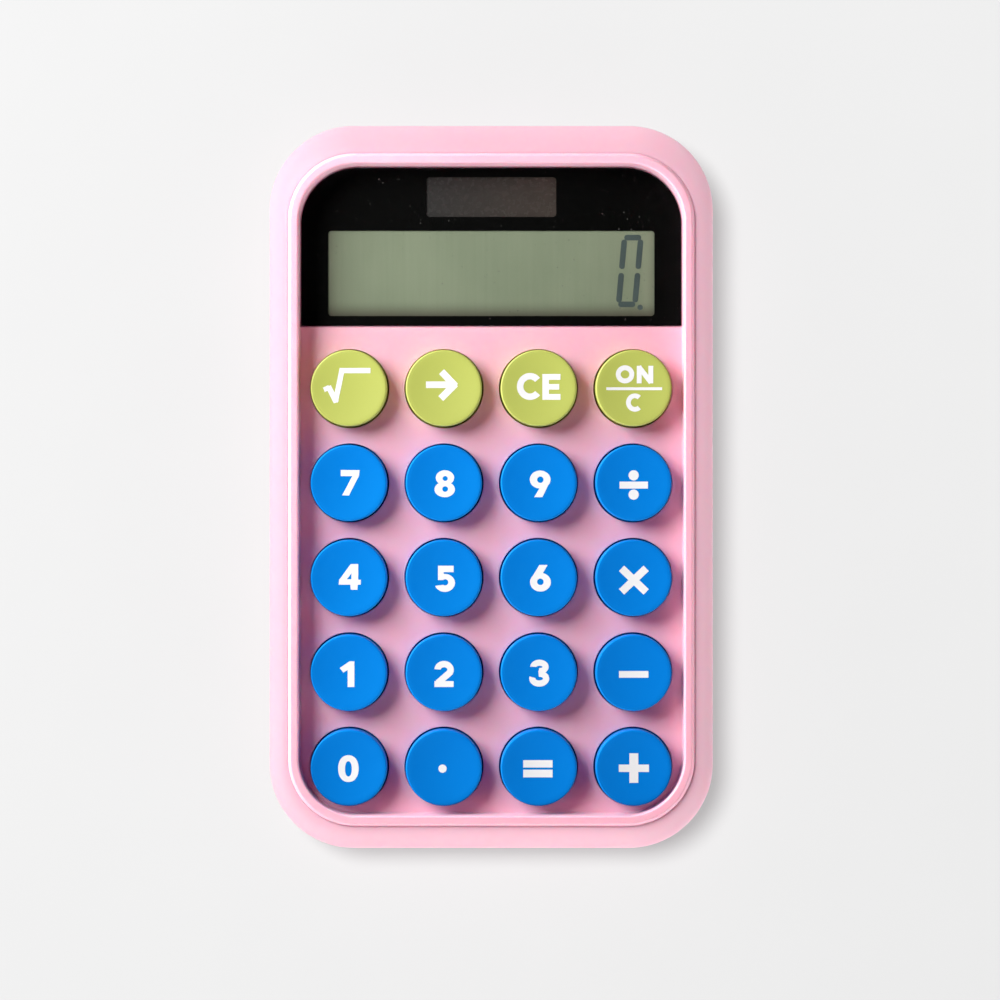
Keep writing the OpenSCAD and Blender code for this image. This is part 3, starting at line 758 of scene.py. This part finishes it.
def lens_outline(inset, z):
    """Points of the lens outline: round top corners and a straight lower edge."""
    r = COVER_R - CORNER_EASE * RIM_W - LENS_GAP - inset
    hx = LENS_HIGH.x - inset
    top = LENS_HIGH.y - inset
    bottom = LENS_LOW.y + inset
    points = [(-hx, bottom, z), (hx, bottom, z)]
    for side in (1, -1):
        for step in range(CORNER_STEPS + 1):
            a = math.radians(90 * step / CORNER_STEPS + (0 if side > 0 else 90))
            points.append((side * (hx - r) + r * math.cos(a), top - r + r * math.sin(a), z))
    return points


def make_lens():
    """Clear lens with eased edges."""
    ease = 0.12
    rings = [lens_outline(0, LENS_LOW.z), lens_outline(0, LENS_HIGH.z - ease)]
    for a in (30, 60, 90):
        inset = ease * (1 - math.cos(math.radians(a)))
        rings.append(lens_outline(inset, LENS_HIGH.z - ease * (1 - math.sin(math.radians(a)))))
    lens = solid("lens", add_loft, rings)
    finish_mesh(lens, 30)
    return piece(lens, MATERIALS["lens_clear"], "root", "lens_clear", "display_lens")


def make_print():
    """Black border printed under the lens, with its two clear windows."""
    low, high = box_mm("lens_print")
    border = solid("lens_border", add_loft, [lens_outline(0.05, low.z), lens_outline(0.05, high.z)])
    for w, h, y in ((LCD_W, LCD_H, LCD_Y), (SOLAR_W, SOLAR_H, SOLAR_Y)):
        combine(border, window(w, h, y, low.z - 1, high.z + 1), "DIFFERENCE")
    finish_mesh(border, 30)
    return piece(border, MATERIALS["lens_ink"], "root", "lens_ink", "lens_print")


def capsule(ax, ay, bx, by, width):
    """Outline of a straight stroke with round ends."""
    direction = math.atan2(by - ay, bx - ax)
    points = []
    for (x, y), start in (((bx, by), -90), ((ax, ay), 90)):
        for step in range(9):
            a = direction + math.radians(start + 22.5 * step)
            points.append((x + width / 2 * math.cos(a), y + width / 2 * math.sin(a)))
    return points


def make_digit():
    """The display's slanted zero and its point, as thin dark segments on the film."""
    height = 13.5
    width = 3.3
    stroke = 1.14
    slant = 0.09
    low_x = 25.76
    low_y = 36.95
    gap = 0.95
    ink_t = 0.02
    inset = 0.5
    point_y = 36.35
    point_d = 1.1

    def at(x, y):
        """A point of the upright digit, slanted and put in its place."""
        return low_x + x + slant * y, low_y + y

    lines = [(at(inset, y), at(width - inset, y)) for y in (0, height)]
    for x in (0, width):
        lines.append((at(x, gap), at(x, height / 2 - gap)))
        lines.append((at(x, height / 2 + gap), at(x, height - gap)))
    z0 = POLARIZER_TOP_Z
    bm = bmesh.new()
    for start, end in lines:
        add_prism(bm, capsule(*start, *end, stroke), z0, z0 + ink_t)
    add_prism(bm, capsule(30.12, point_y, 30.14, point_y, point_d), z0, z0 + ink_t)
    digit = link("display_digit", bm)
    finish_mesh(digit, 30)
    return piece(digit, MATERIALS["lcd_segment"], "root", "lcd_glass")


# ---------------------------------------------------------------- keys

def key_centre(node):
    """Where a key stands on the plate."""
    low, high = box_mm(node)
    return (low.x + high.x) / 2, (low.y + high.y) / 2


def dish(radius, lift=0.0):
    """Height of the key's slightly dished face at a radius."""
    rim = KEY_R - KEY_FILLET
    return KEY_TOP_Z - KEY_DISH * (1 - min(radius / rim, 1) ** 2) + lift


def key_profile():
    """Half section of a key cap from the middle of its face to the middle of its plunger."""
    rim = KEY_R - KEY_FILLET
    face = [(rim * i / 10, dish(rim * i / 10)) for i in range(11)]
    edge = []
    for step in range(1, 9):
        a = math.radians(90 - (90 * step / 8))
        edge.append((rim + KEY_FILLET * math.cos(a), KEY_TOP_Z - KEY_FILLET * (1 - math.sin(a))))
    flange_z = KEY_UNDER_Z + 1.0
    hollow_r = KEY_R - 1.3
    below = [
        (KEY_R, flange_z), (KEY_FLANGE_R, flange_z), (KEY_FLANGE_R, KEY_UNDER_Z),
        (hollow_r, KEY_UNDER_Z), (hollow_r, KEY_TOP_Z - 1.7), (2.4, KEY_TOP_Z - 1.7),
        (2.4, KEY_UNDER_Z), (0, KEY_UNDER_Z),
    ]
    return face + edge + below


def make_key(node):
    """One key cap with a dished face, an eased edge and a flange with two flats."""
    centre = key_centre(node)
    bm = bmesh.new()
    add_lathe(bm, (0, 0), key_profile())
    for vertex in bm.verts:
        vertex.co.x = max(-KEY_FLAT, min(KEY_FLAT, vertex.co.x))
    bmesh.ops.translate(bm, verts=bm.verts, vec=(*centre, 0))
    cap = link(node + "_cap", bm)
    finish_mesh(cap, 30)
    slot = "key_lime" if node in LIME_KEYS else "key_blue"
    return piece(cap, MATERIALS[slot], node, slot, node)


def ellipse(x, y, rx, ry, power=2.0, steps=64):
    """Closed curve; a power above 2 squares it up."""
    points = []
    for i in range(steps):
        a = 2 * math.pi * i / steps
        across = math.copysign(abs(math.cos(a)) ** (2 / power), math.cos(a))
        along = math.copysign(abs(math.sin(a)) ** (2 / power), math.sin(a))
        points.append((x + rx * across, y + ry * along))
    return points


def bar(x0, x1, y0, y1):
    """Upright rectangle."""
    return [(x0, y0), (x1, y0), (x1, y1), (x0, y1)]


def line(start, end, width):
    """Straight stroke with square ends."""
    along = (Vector(end) - Vector(start)).normalized()
    side = Vector((-along.y, along.x)) * width / 2
    return [tuple(Vector(p) + side * s) for p, s in ((start, 1), (start, -1), (end, -1), (end, 1))]


def bow(x, y, rx, ry, start, end, width, steps=40):
    """Curved stroke along part of an ellipse, angles in degrees, square ends."""
    outer = []
    inner = []
    for i in range(steps + 1):
        a = math.radians(start + (end - start) * i / steps)
        outer.append((x + (rx + width / 2) * math.cos(a), y + (ry + width / 2) * math.sin(a)))
        inner.append((x + (rx - width / 2) * math.cos(a), y + (ry - width / 2) * math.sin(a)))
    return outer + inner[::-1]


# Each legend is the outlines that are printed and the outlines cut out of them, from the key's centre.
LEGENDS = {
    "key_7": ([[(-1.62, 2.61), (2.14, 2.57), (2.04, 1.48), (0.02, -2.49), (-1.35, -2.49), (0.7, 1.38),
                (-1.62, 1.38)]], []),
    "key_8": ([ellipse(0.24, 1.06, 1.84, 1.5), ellipse(0.19, -1.29, 2.04, 1.55)],
              [ellipse(0.28, 0.9, 0.52, 0.49), ellipse(0.28, -1.21, 0.58, 0.55)]),
    "key_9": ([ellipse(0.29, 0.7, 2.08, 1.8),
               [(2.34, 0.45), (0.74, -2.84), (-0.9, -2.84), (0.13, -1.09), (0.9, 0.2)]],
              [ellipse(0.33, 0.66, 0.64, 0.64)]),
    "key_4": ([[(0.37, 2.78), (1.88, 2.78), (1.88, -0.37), (2.39, -0.37), (2.39, -1.34), (1.8, -1.34),
                (1.7, -2.36), (0.37, -2.36), (0.3, -1.34), (-2.03, -1.34), (-1.93, -0.37)]],
              [[(0.54, 0.97), (0.5, -0.27), (-0.39, -0.27)]]),
    "key_5": ([[(-1.15, 2.45), (1.97, 2.45), (1.97, 1.17), (-0.02, 1.17), (-0.02, -0.4), (-1.15, -0.4)],
               ellipse(0.2, -0.99, 2.05, 1.8)],
              [ellipse(0.29, -0.88, 0.62, 0.62),
               [(-3, 1), (-1.15, 1), (-1.15, -0.42), (0.2, -0.42), (0.2, -1.34), (-1.72, -1.6), (-3, -1.6)]]),
    "key_6": ([ellipse(0.35, -0.85, 2.08, 1.88),
               [(0.13, 2.61), (1.77, 2.61), (0.85, 0.97), (0.6, -0.2), (-1.0, -1.2), (-1.73, -0.47)]],
              [ellipse(0.33, -0.78, 0.66, 0.66)]),
    "key_1": ([[(0.13, 2.32), (1.11, 2.32), (1.11, -2.82), (-0.24, -2.82), (-0.24, 0.57), (-1.11, 0.06),
                (-1.83, 0.98)]], []),
    "key_2": ([bow(0.06, 0.62, 1.3, 1.14, 176, -32, 1.28), line((1.35, 0.18), (-1.2, -2.02), 1.3),
               bar(-1.87, 1.97, -2.82, -1.65)], []),
    "key_3": ([bow(0.15, 1.2, 1.22, 0.84, 178, -95, 1.24), bow(0.1, -1.15, 1.38, 0.98, 95, -196, 1.24)], []),
    "key_0": ([ellipse(-0.09, -0.15, 2.05, 2.69, 2.2)], [ellipse(-0.09, -0.22, 0.68, 1.53, 2.2)]),
    "key_divide": ([ellipse(0, 1.54, 1.02, 1.02), ellipse(0, -2.33, 1.02, 1.02),
                    bar(-2.83, 2.87, -1.12, 0.28)], []),
    "key_multiply": ([line((-2.43, 1.93), (2.51, -2.8), 1.52), line((-2.43, -2.8), (2.51, 1.93), 1.52)], []),
    "key_minus": ([bar(-2.94, 2.96, -0.97, 0.37)], []),
    "key_equals": ([bar(-3.1, 2.78, 0.06, 1.54), bar(-3.1, 2.78, -1.91, -0.37)], []),
    "key_plus": ([bar(-2.98, 3.07, -0.83, 0.65), bar(-0.85, 0.93, -3.0, 2.92)], []),
    "key_point": ([ellipse(-0.25, -0.17, 0.82, 0.82)], []),
    "key_root": ([bar(-1.7, 4.33, 2.98, 4.03), line((-1.3, 3.95), (-2.72, -2.85), 1.05),
                  line((-2.5, -2.85), (-4.1, 0.35), 1.1), line((-3.9, 0.15), (-5.0, -0.35), 0.95)], []),
    "key_backspace": ([bar(-3.57, 1.9, 0.02, 1.33), line((-0.45, 3.3), (2.35, 0.36), 1.4),
                       line((-0.6, -2.1), (2.35, 0.86), 1.4)], []),
    "key_clear_entry": ([bow(-1.75, 0.32, 1.98, 2.06, 40, 320, 1.3), bar(0.74, 2.04, -2.35, 2.81),
                         bar(1.5, 4.36, 1.66, 2.81), bar(1.5, 4.1, -0.3, 0.8),
                         bar(1.5, 4.36, -2.35, -1.2)], []),
    "key_on_clear": ([ellipse(-1.73, 2.75, 1.85, 1.81), bar(0.63, 1.6, 0.94, 4.46),
                      bar(2.95, 3.92, 0.94, 4.46), line((1.0, 4.3), (3.5, 1.1), 1.0),
                      bar(-5.48, 5.7, -0.42, 0.15),
                      bow(0.25, -2.91, 1.3, 1.36, 48, 312, 0.95)],
                     [ellipse(-1.73, 2.75, 0.86, 0.82)]),
}


def print_shell(centre):
    """Thin shell that follows the dished face, where the ink lies."""
    rim = KEY_R - KEY_FILLET
    top = [(rim * i / 10, dish(rim * i / 10, PRINT_T)) for i in range(11)]
    bottom = [(rim * i / 10, dish(rim * i / 10, -0.05)) for i in range(10, -1, -1)]
    return turned("print_shell", [centre], top + bottom)


def make_legend(node):
    """Printed legend of one key, cut from a shell over the key's face."""
    centre = key_centre(node)
    printed, removed = LEGENDS[node]
    z0 = KEY_TOP_Z - 1.2
    z1 = KEY_TOP_Z + 0.6

    def prism(points, low, high):
        """Upright stroke over an outline measured from the key's centre."""
        return solid("stroke", add_prism, [(centre[0] + x, centre[1] + y) for x, y in points], low, high)

    legend = prism(printed[0], z0, z1)
    for index, points in enumerate(printed[1:]):
        combine(legend, prism(points, z0 - 0.01 * (index + 1), z1 + 0.01 * (index + 1)), "UNION")
    for points in removed:
        combine(legend, prism(points, z0 - 1, z1 + 1), "DIFFERENCE")
    combine(legend, print_shell(centre), "INTERSECT")
    legend.name = "legend_" + node[4:]
    finish_mesh(legend, 30)
    slot = "key_lime" if node in LIME_KEYS else "key_blue"
    return piece(legend, MATERIALS["legend_print"], node, slot)


# ---------------------------------------------------------------- underside

def make_feet():
    """Four soft feet with rounded lower edges."""
    ease = 0.35
    top = FLOOR_Z + FOOT_POCKET
    edge = [(FOOT_R - ease * (1 - math.sin(math.radians(a))), ease * (1 - math.cos(math.radians(a))))
            for a in range(0, 91, 15)]
    feet = turned("feet", FEET_AT, [(0, 0)] + edge + [(FOOT_R, top), (0, top)])
    finish_mesh(feet, 40)
    return piece(feet, MATERIALS["foot_rubber"], "root", "foot_rubber", "rubber_feet")


def make_door():
    """Sliding battery door with eased edges, side tongues and five grip grooves."""
    low, high = DOOR_LOW, DOOR_HIGH
    mid_y = (low.y + high.y) / 2
    half_y = (high.y - low.y) / 2
    ease = 0.2
    rings = []
    for a in (0, 30, 60, 90):
        inset = ease * (1 - math.sin(math.radians(a)))
        z = low.z + ease * (1 - math.cos(math.radians(a)))
        rings.append(rounded(DOOR_HX - inset, half_y - inset, 0.5, mid_y, z))
    rings.append(rounded(DOOR_HX, half_y, 0.5, mid_y, high.z))
    door = solid("door", add_loft, rings)
    tongue_z = low.z + DOOR_FACE_T + 0.05
    combine(door, solid("tongues", add_loft, [rounded(high.x, half_y - 0.02, 0.3, mid_y, z)
                                              for z in (tongue_z, high.z - 0.01)]), "UNION")
    bm = bmesh.new()
    for index in range(5):
        y = mid_y + (index - 2) * 1.4
        add_loft(bm, [rounded(4.12, 0.42, 0.4, y, low.z - 0.2), rounded(4.0, 0.3, 0.28, y, low.z + 0.05),
                      rounded(3.95, 0.22, 0.2, y, low.z + 0.3)])
    combine(door, link("grooves", bm), "DIFFERENCE")
    finish_mesh(door, 35)
    return piece(door, MATERIALS["case_plastic"], "battery_door", "case_plastic", "battery_door")


def paint_carried_nodes():
    """Procedural materials for the CAD nodes that stay as they are."""
    carried = {
        "lens_tape": "adhesive_tape", "lcd_polarizer": "polarizer_film", "lcd_glass": "lcd_glass",
        "lcd_reflector": "reflector_film", "lcd_frame": "frame_plastic", "connector_strip": "strip_rubber",
        "solar_cell": "solar_glass", "solar_pad": "foam_pad", "solar_wires": "wire_jacket",
        "circuit_board": "board_laminate", "chip_cap": "chip_epoxy", "capacitor": "capacitor_sleeve",
        "resistors": "chip_epoxy", "keypad_membrane": "membrane_silicone", "board_screws": "screw_steel",
        "housing_screws": "screw_steel", "battery_cell": "cell_steel",
        "battery_contact_plus": "contact_metal", "battery_contact_minus": "contact_metal",
        "battery_wires": "wire_jacket",
    }
    for node, name in carried.items():
        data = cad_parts[node].data
        data.materials.clear()
        data.materials.append(MATERIALS[name])


# ---------------------------------------------------------------- stage, light and camera

TENT = 3.0


def aim(obj, target):
    """Turns a light to look at a point."""
    obj.rotation_euler = (Vector(target) - obj.location).to_track_quat("-Z", "Y").to_euler()


def area_light(name, azimuth, elevation, distance, size, power, colour=(1, 1, 1)):
    """Soft area light that looks at the middle of the calculator."""
    data = bpy.data.lights.new(name, "AREA")
    data.shape = "DISK"
    data.size = size
    data.energy = power
    data.color = colour
    light = bpy.data.objects.new(name, data)
    a = math.radians(azimuth)
    e = math.radians(elevation)
    light.location = Vector((math.cos(e) * math.cos(a), math.cos(e) * math.sin(a), math.sin(e))) * distance
    light.location.z += RIM_Z * MM
    bpy.context.scene.collection.objects.link(light)
    aim(light, (0, 0, RIM_Z * MM))
    return light


def restrict(light, state, *objects):
    """Lets a light reach only these objects, or everything but them."""
    group = bpy.data.collections.new(light.name + "_receivers")
    for obj in objects:
        group.objects.link(obj)
    light.light_linking.receiver_collection = group
    for member in group.collection_objects:
        member.light_linking.link_state = state


def make_stage():
    """Plain pale floor that glows a little, so its shadows stay light."""
    bm = bmesh.new()
    bmesh.ops.create_grid(bm, x_segments=8, y_segments=8, size=3000)
    floor = link("floor", bm)
    paint = Paint("floor_paper")
    paint.colour(paint.ramp(paint.noise(40, 3.0), [(0.3, (0.15, 0.15, 0.15)), (0.7, (0.152, 0.152, 0.152))]))
    paint.set(Roughness=0.9, Specular_IOR_Level=0.0, Emission_Color=(1, 1, 1, 1), Emission_Strength=0.41)
    floor.data.materials.append(paint.material)
    return floor


def make_surround():
    """Bright band round the horizon like the walls of a light tent, open and dark above and behind."""
    world = bpy.data.worlds.new("surround")
    bpy.context.scene.world = world
    world.use_nodes = True
    nodes = world.node_tree.nodes
    links = world.node_tree.links
    coordinates = nodes.new("ShaderNodeTexCoord")
    separate = nodes.new("ShaderNodeSeparateXYZ")
    links.new(coordinates.outputs["Generated"], separate.inputs["Vector"])

    def ramp(socket, start, end, low, high):
        """Smooth step from low to high."""
        node = nodes.new("ShaderNodeMapRange")
        node.interpolation_type = "SMOOTHSTEP"
        node.inputs["From Min"].default_value = start
        node.inputs["From Max"].default_value = end
        node.inputs["To Min"].default_value = low
        node.inputs["To Max"].default_value = high
        links.new(socket, node.inputs["Value"])
        return node.outputs["Result"]

    band = ramp(separate.outputs["Z"], math.sin(math.radians(30)), math.sin(math.radians(14)), 0.0, TENT)
    side = ramp(separate.outputs["Y"], 1.0, -1.0, 0.2, 1.5)
    product = nodes.new("ShaderNodeMath")
    product.operation = "MULTIPLY"
    links.new(band, product.inputs[0])
    links.new(side, product.inputs[1])
    background = nodes["Background"]
    background.inputs["Color"].default_value = (1, 1, 1, 1)
    links.new(product.outputs["Value"], background.inputs["Strength"])
    seen = nodes.new("ShaderNodeBackground")
    seen.inputs["Color"].default_value = (0.88, 0.88, 0.88, 1)
    path = nodes.new("ShaderNodeLightPath")
    choose = nodes.new("ShaderNodeMixShader")
    links.new(path.outputs["Is Camera Ray"], choose.inputs["Fac"])
    links.new(background.outputs["Background"], choose.inputs[1])
    links.new(seen.outputs["Background"], choose.inputs[2])
    links.new(choose.outputs["Shader"], nodes["World Output"].inputs["Surface"])


def make_lights(floor, case, cover):
    """Low soft key light from the upper left, one for the case, a rosy fill and a wash for the floor."""
    key = area_light("key_light", 147, 27, 0.43, 0.34, 4.15)
    restrict(key, "EXCLUDE", floor, case)
    bevel = area_light("case_light", 135, 48, 0.6, 0.3, 4.1)
    restrict(bevel, "INCLUDE", case)
    fill = area_light("fill_light", 0, 89, 0.8, 0.5, 0.7, (1, 0.15, 0.35))
    restrict(fill, "INCLUDE", cover)
    wash = area_light("floor_light", 143, 71, 1.2, 0.5, 45)
    restrict(wash, "INCLUDE", floor)


def make_camera():
    """Camera straight above the calculator, half a metre over the key tops."""
    distance = 500.0
    scale = 0.2005
    data = bpy.data.cameras.new("camera")
    data.sensor_width = 36
    data.lens = 36 * distance / (scale * 1000)
    data.shift_x = 0.010
    data.shift_y = -0.015
    data.clip_start = 0.01
    camera = bpy.data.objects.new("camera", data)
    camera.location = Vector((-0.25, 0.4, KEY_TOP_Z + distance)) * MM
    bpy.context.scene.collection.objects.link(camera)
    bpy.context.scene.camera = camera


bpy.context.scene.view_settings.view_transform = "Standard"
case_shell = make_case()
cover_shell = make_cover()
make_lens()
make_print()
make_digit()
make_feet()
make_door()
for key_node in KEY_NODES:
    make_key(key_node)
    make_legend(key_node)
paint_carried_nodes()
make_surround()
make_lights(make_stage(), case_shell, cover_shell)
make_camera()
